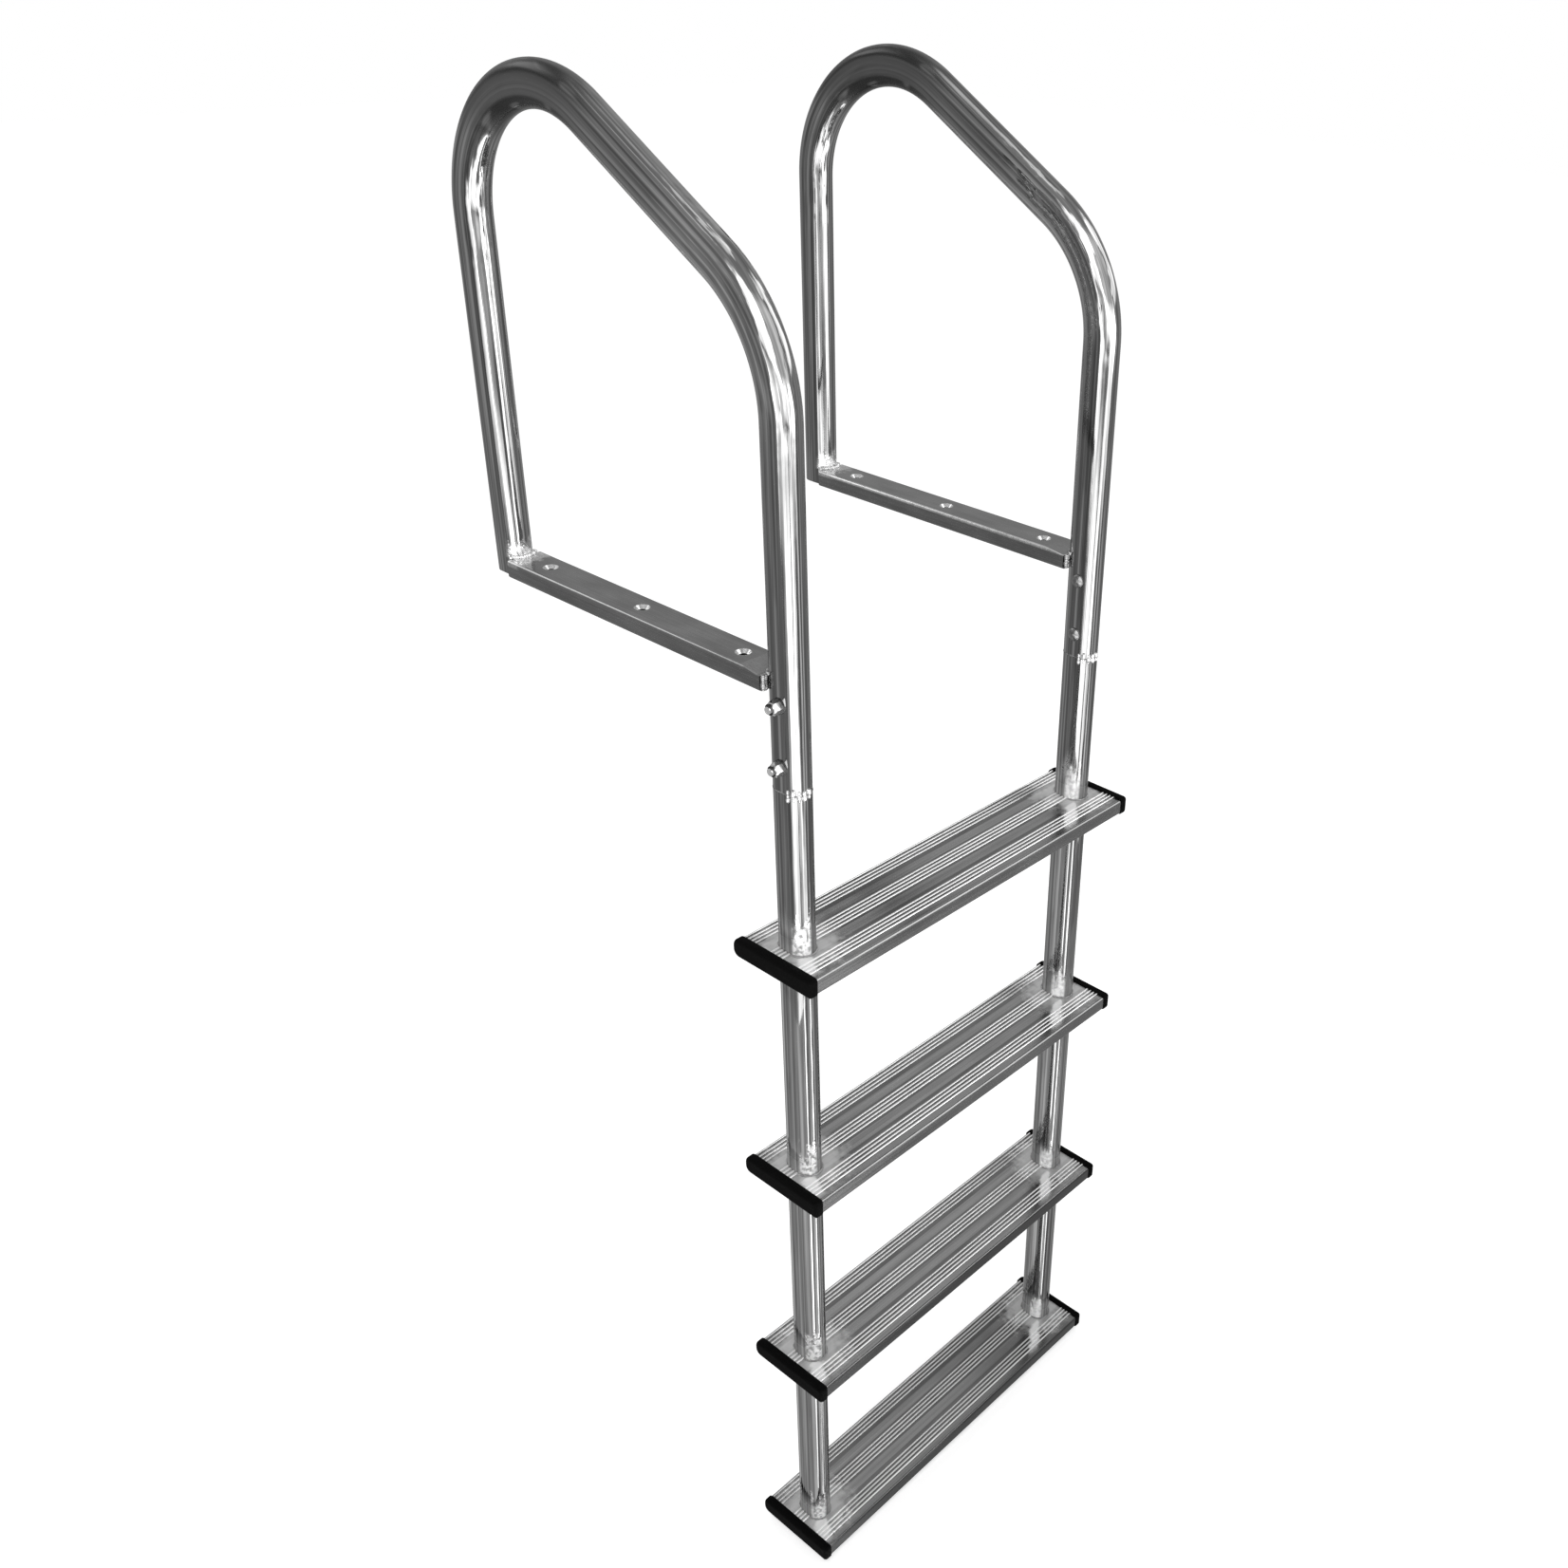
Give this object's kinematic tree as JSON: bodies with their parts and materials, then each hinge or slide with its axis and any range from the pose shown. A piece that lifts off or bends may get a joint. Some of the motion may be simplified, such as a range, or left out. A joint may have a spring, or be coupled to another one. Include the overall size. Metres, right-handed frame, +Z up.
{
  "type": "dock ladder",
  "caption": "Aluminium dock ladder with wide ribbed steps, bent handrails over the deck, deck bars with countersunk holes and bolted splices.",
  "frame": {"origin": "on the underside of the left deck bar, in the middle of its width, over the edge of the deck", "axes": "+Z up; +Y from the water towards the dock; +X to the right seen from the water. Z 0 is the deck's surface."},
  "size_m": [0.543, 0.5216, 1.766],
  "materials": {
    "rail_tube": "polished tube, drawn lines along its length",
    "insert_tube": "plain mill finish",
    "deck_bar": "mill finish, fine lines along its length",
    "step_extrusion": "extruded, ribbed, fine lines along its length",
    "weld_bead": "rippled bead, bright",
    "steel_bolt": "stainless, turned",
    "steel_washer": "stainless, pressed",
    "steel_nut": "stainless, satin",
    "cap_plastic": "moulded black, fine grain",
    "black_plug": "moulded black"
  },
  "bodies": {
    "root": {"left_handrail": "rail_tube", "left_side_rail": "rail_tube", "left_splice_insert": "insert_tube", "left_foot_plug": "black_plug", "left_deck_bar": "deck_bar", "left_splice_weld": "weld_bead", "left_front_leg_weld": "weld_bead", "left_rear_leg_weld": "weld_bead", "left_upper_bolt": "steel_bolt", "left_upper_washer": "steel_washer", "left_upper_nut": "steel_nut", "left_lower_bolt": "steel_bolt", "left_lower_washer": "steel_washer", "left_lower_nut": "steel_nut", "right_handrail": "rail_tube", "right_side_rail": "rail_tube", "right_splice_insert": "insert_tube", "right_foot_plug": "black_plug", "right_deck_bar": "deck_bar", "right_splice_weld": "weld_bead", "right_front_leg_weld": "weld_bead", "right_rear_leg_weld": "weld_bead", "right_upper_bolt": "steel_bolt", "right_upper_washer": "steel_washer", "right_upper_nut": "steel_nut", "right_lower_bolt": "steel_bolt", "right_lower_washer": "steel_washer", "right_lower_nut": "steel_nut", "step_1": "step_extrusion", "step_1_welds": "weld_bead", "step_1_left_cap": "cap_plastic", "step_1_right_cap": "cap_plastic", "step_2": "step_extrusion", "step_2_welds": "weld_bead", "step_2_left_cap": "cap_plastic", "step_2_right_cap": "cap_plastic", "step_3": "step_extrusion", "step_3_welds": "weld_bead", "step_3_left_cap": "cap_plastic", "step_3_right_cap": "cap_plastic", "step_4": "step_extrusion", "step_4_welds": "weld_bead", "step_4_left_cap": "cap_plastic", "step_4_right_cap": "cap_plastic"}
  },
  "joints": []
}
